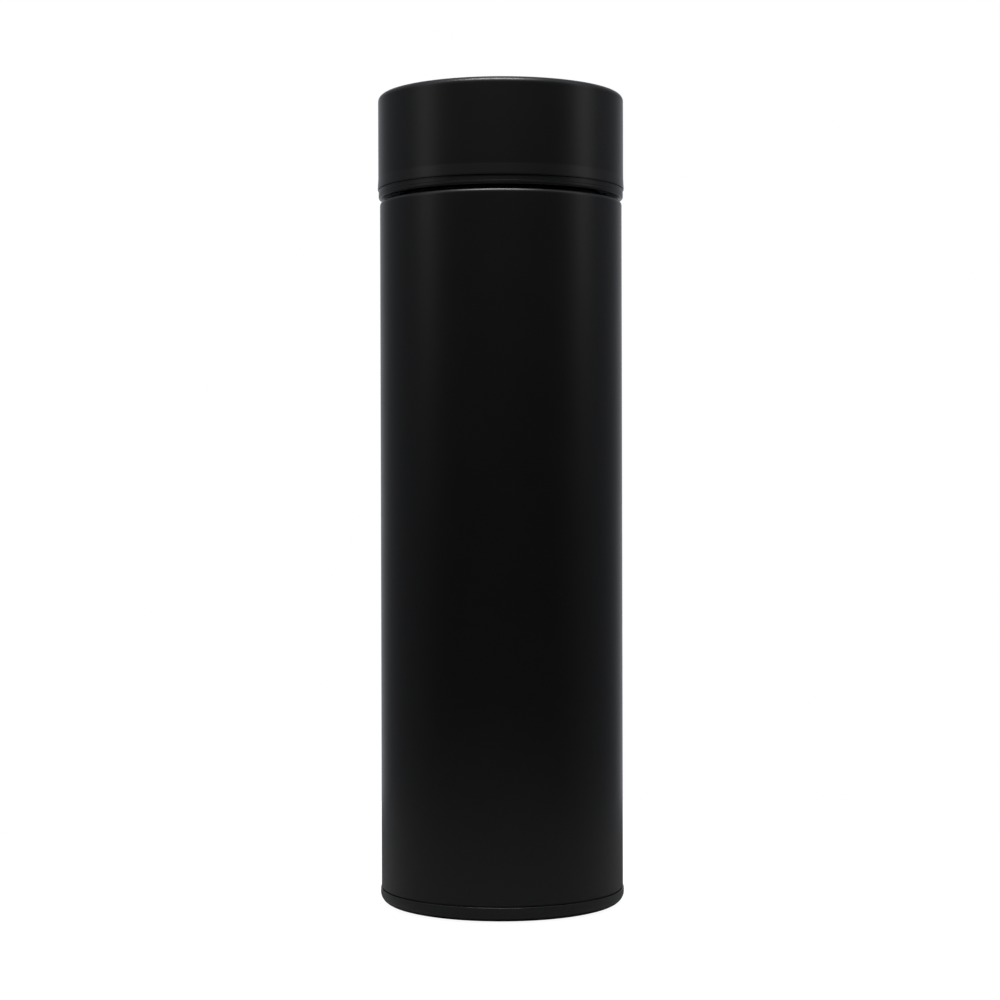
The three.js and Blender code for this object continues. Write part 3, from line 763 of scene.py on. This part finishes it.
def makeInnerCap():
    cap = {"skirtWall": 1.8, "web": 1.8, "round": 1, "skirtRound": 0.5, "rootRound": 0.3,
           "plugEdgeRound": 0.25, "plugBoreRound": 0.15,
           "aboveThread": 1.2, "belowThread": 1,  # plain wall at either end of the finely drawn part
           "ribCount": 6, "ribThickness": 1.2,
           "ribSink": 0.2}  # the ribs run this far into the walls and the web
    webLow = capTop - cap["web"]
    skirtRadius = capBore + cap["skirtWall"]
    outerBore = capRadius - shared["capSkirt"]
    outerLow = hemLow + shared["lidWall"] + gap
    plugBore = plugRadius - shared["plugWall"]
    plugLow = dishLow + shared["dishWall"] + gap
    corners = [
        (0, webLow),
        (plugBore, webLow),
        (plugBore, plugLow, cap["plugBoreRound"]),
        (plugRadius, plugLow, cap["plugEdgeRound"]),
        (plugRadius, webLow, cap["rootRound"]),
        (capBore, webLow, cap["rootRound"]),
        *stretch((capBore, webLow - cap["aboveThread"]), (capBore, capLow + cap["belowThread"]),
                 shared["threadStep"]),
        (capBore, capLow, cap["skirtRound"]),
        (skirtRadius, capLow, cap["skirtRound"]),
        (skirtRadius, webLow),
        (outerBore, webLow),
        (outerBore, outerLow),
        (capRadius, outerLow),
        (capRadius, capTop, cap["round"]),
        (0, capTop),
    ]
    ridgeFirst = shoulder + shared["threadRunIn"] + shared["threadLead"] / shared["threadStarts"] / 2
    thread = threadInputs(capBore, shared["threadReach"], -shared["threadDepth"], ridgeFirst)
    piece = turnPiece("screw_cap_core", corners, greyPlastic, "lid", "lid_inner_cap",
                      segments=256, thread=thread)
    ribLow = trimTop + gap
    ribWidth = outerBore - skirtRadius + 2 * cap["ribSink"]
    holder = bpy.data.objects.new("ribHolder", bpy.data.meshes.new("ribHolder"))
    scene.collection.objects.link(holder)
    ribs = holder.modifiers.new("ribs", "NODES")
    ribs.node_group = ribTree
    ribs[ribSockets["Count"]] = cap["ribCount"]
    ribs[ribSockets["Radius"]] = (skirtRadius + outerBore) / 2 * mm
    ribs[ribSockets["Height"]] = (ribLow + webLow) / 2 * mm
    ribs[ribSockets["Size"]] = (ribWidth * mm, cap["ribThickness"] * mm,
                                (webLow - ribLow + cap["ribSink"]) * mm)
    ribs[ribSockets["Material"]] = greyPlastic
    ribMesh = plainMesh(holder)
    joinedShape = bmesh.new()
    joinedShape.from_mesh(piece.data)
    joinedShape.from_mesh(ribMesh)
    joinedShape.to_mesh(piece.data)
    joinedShape.free()
    piece.data.set_sharp_from_angle(angle=sharpFrom)
    bpy.data.objects.remove(holder)
    return piece


def makeSteelDish():
    dish = {"flat": 0.62, "press": 0.25, "pressRun": 1.2, "outerRound": 1.2, "innerRound": 1, "rimFlat": 0.01}
    wall = shared["dishWall"]
    collar = plugRadius - shared["plugWall"] - gap
    flat = plugRadius * dish["flat"]
    edge = flat + dish["pressRun"]
    rimRound = wall / 2 - dish["rimFlat"]
    corners = [
        (0, dishLow + dish["press"]),
        (flat, dishLow + dish["press"], dish["outerRound"]),
        (edge, dishLow, dish["outerRound"]),
        (plugRadius, dishLow, rimRound),
        (plugRadius, dishLow + wall, rimRound),
        (collar, dishLow + wall),
        (collar, dishTop),
        (collar - wall, dishTop),
        (collar - wall, dishLow + wall),
        (edge, dishLow + wall, dish["innerRound"]),
        (flat, dishLow + wall + dish["press"], dish["innerRound"]),
        (0, dishLow + wall + dish["press"]),
    ]
    return turnPiece("steel_dish", corners, spunSteel, "lid", "lid_steel_dish")


def makeGasket():
    seal = {"rib": 0.4, "ribRound": 0.2, "rootRound": 0.15, "round": 0.2}
    inner = plugRadius + gap
    middle = (mouthRadius + neckRadius) / 2
    body = gasketLow + seal["rib"]
    corners = [
        (inner, body, seal["round"]),
        (middle - 2 * seal["rib"], body, seal["rootRound"]),
        (middle - seal["rib"], gasketLow, seal["ribRound"]),
        (middle + seal["rib"], gasketLow, seal["ribRound"]),
        (middle + 2 * seal["rib"], body, seal["rootRound"]),
        (gasketRadius, body, seal["round"]),
        (gasketRadius, gasketTop, seal["round"]),
        (inner, gasketTop, seal["round"]),
    ]
    return turnPiece("seal_ring", corners, silicone, "lid", "lid_gasket", arcSteps=5)


makeLidCover()
makeTrimRing()
makeInnerCap()
makeSteelDish()
makeGasket()
print("lid made")


# Inside, never seen: the frame's own pieces keep their shape and get their finish
finishes = {
    "copper_foil": copperFoil, "foil_tape": copperFoil, "foil_disc": copperFoil,
    "base_plate": polishedSteel, "getter_clip": polishedSteel, "glass_seal": solderGlass,
    "getter_pill": getterPowder, "base_foam": whiteFoam, "lid_top_foam": whiteFoam,
    "lid_plug_foam": whiteFoam,
}
for node, material in finishes.items():
    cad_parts[node].data.materials.clear()
    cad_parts[node].data.materials.append(material)
print("inner pieces finished")


# Studio: a white floor and surround, dim towards the camera, with a softbox on each side and one above

def makeSurround():
    surround = {
        "seen": 1.0,  # white, to the camera
        "redder": 0.96, "bluer": 1.07,  # the light is a little cool
        # height of the direction, and the light from there
        "above": ((0.0, 0.0), (0.18, 0.02), (0.55, 0.22), (1.0, 0.40)),
        # share of the way from the camera's side to the far side, and the light from there
        "around": ((0.0, 0.016), (0.25, 0.018), (0.45, 0.085), (0.68, 0.11), (0.87, 0.16), (0.94, 0.45),
                   (1.0, 1.0)),
    }
    world = bpy.data.worlds.new("studio")
    world.use_nodes = True
    tree = world.node_tree
    seen = tree.nodes["Background"]
    seen.inputs["Color"].default_value = (1, 1, 1, 1)
    seen.inputs["Strength"].default_value = surround["seen"]
    heading = addNode(tree, "ShaderNodeTexCoord").outputs["Generated"]
    axes = addNode(tree, "ShaderNodeSeparateXYZ", {}, {0: heading}).outputs

    def graded(along, low, stops):
        share = addNode(tree, "ShaderNodeMapRange", {"From Min": low, "From Max": 1.0}, {"Value": along})
        ramp = addNode(tree, "ShaderNodeValToRGB", {}, {0: share})
        while len(ramp.color_ramp.elements) < len(stops):
            ramp.color_ramp.elements.new(0.5)
        for element, (place, light) in zip(ramp.color_ramp.elements, stops):
            element.position = place
            element.color = (light * surround["redder"], light, light * surround["bluer"], 1)
        return addNode(tree, "ShaderNodeBackground", {}, {"Color": ramp})

    lighting = addNode(
        tree, "ShaderNodeAddShader", {},
        {0: graded(axes["Y"], -1.0, surround["around"]), 1: graded(axes["Z"], 0.0, surround["above"])},
    )
    path = addNode(tree, "ShaderNodeLightPath").outputs["Is Camera Ray"]
    mixed = addNode(tree, "ShaderNodeMixShader", {}, {0: path, 1: lighting, 2: seen})
    tree.links.new(mixed.outputs[0], tree.nodes["World Output"].inputs["Surface"])
    scene.world = world


def makeFloor():
    paper = {"colour": "#828282", "roughness": 0.9, "glow": 0.95, "radius": 0.20, "below": 0.03}
    shape = bmesh.new()
    bmesh.ops.create_circle(shape, cap_ends=True, segments=128, radius=paper["radius"])
    mesh = bpy.data.meshes.new("floor")
    shape.to_mesh(mesh)
    shape.free()
    floor = bpy.data.objects.new("floor", mesh)
    floor.location.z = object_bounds()[0].z - paper["below"] * mm
    scene.collection.objects.link(floor)
    material = bpy.data.materials.new("whitePaper")
    material.use_nodes = True
    tree = material.node_tree
    surface = tree.nodes["Principled BSDF"]
    surface.inputs["Base Color"].default_value = toLinear(paper["colour"])
    surface.inputs["Roughness"].default_value = paper["roughness"]
    glow = addNode(tree, "ShaderNodeEmission", {"Strength": paper["glow"]})
    both = addNode(tree, "ShaderNodeAddShader", {}, {0: surface, 1: glow})
    path = addNode(tree, "ShaderNodeLightPath").outputs["Is Camera Ray"]
    shown = addNode(tree, "ShaderNodeMixShader", {}, {0: path, 1: surface, 2: both})
    under = addNode(tree, "ShaderNodeNewGeometry").outputs["Backfacing"]  # clear from below, to show the base
    oneSided = addNode(tree, "ShaderNodeMixShader", {},
                       {0: under, 1: shown, 2: addNode(tree, "ShaderNodeBsdfTransparent")})
    tree.links.new(oneSided.outputs[0], tree.nodes["Material Output"].inputs["Surface"])
    mesh.materials.append(material)


def makeLights():
    aim = Vector((0, 0, 0.2))
    softboxes = (
        # name, turned from the camera's side, distance, height, width, tall, watts
        ("leftSoftbox", -72, 0.60, 0.52, 0.20, 0.60, 0.30),
        ("rightSoftbox", 82, 0.60, 0.52, 0.20, 0.60, 0.33),
        ("topSoftbox", -8, 0.28, 0.75, 0.44, 0.10, 4.7),
        ("frontFill", -11.3, 0.765, 0.45, 1.2, 0.7, 1.2),
    )
    for name, turned, distance, height, width, tall, watts in softboxes:
        light = bpy.data.lights.new(name, "AREA")
        light.shape = "RECTANGLE"
        light.size, light.size_y = width, tall
        light.energy = watts
        lamp = bpy.data.objects.new(name, light)
        lamp.location = (distance * sin(radians(turned)), -distance * cos(radians(turned)), height)
        lamp.rotation_euler = (aim - lamp.location).to_track_quat("-Z", "Y").to_euler()
        lamp.visible_camera = False
        scene.collection.objects.link(lamp)
    # the bare steel and the lid's inside have the fill to themselves, or they would only mirror the dark
    opened = bpy.data.collections.new("openedPieces")
    for name in ("bottle_neck", "mouth_and_liner", "liner_floor", "screw_cap_core", "steel_dish",
                 "seal_ring"):
        opened.objects.link(bpy.data.objects[name])
    bpy.data.objects["frontFill"].light_linking.receiver_collection = opened
    scene.view_settings.view_transform = "Standard"


def makeCamera():
    shot = {"distance": 0.6093, "height": 0.1138, "aside": -0.0004, "dip": 0.362, "roll": 0.14,
            "lens": 80.1}
    camera = bpy.data.objects.new("camera", bpy.data.cameras.new("camera"))
    camera.data.lens = shot["lens"]
    camera.data.clip_start = 0.01
    camera.location = (shot["aside"], -shot["distance"], shot["height"])
    camera.rotation_euler = (radians(90 - shot["dip"]), radians(shot["roll"]), 0)
    scene.collection.objects.link(camera)
    scene.camera = camera


makeSurround()
makeFloor()
makeLights()
makeCamera()
print("studio lit")
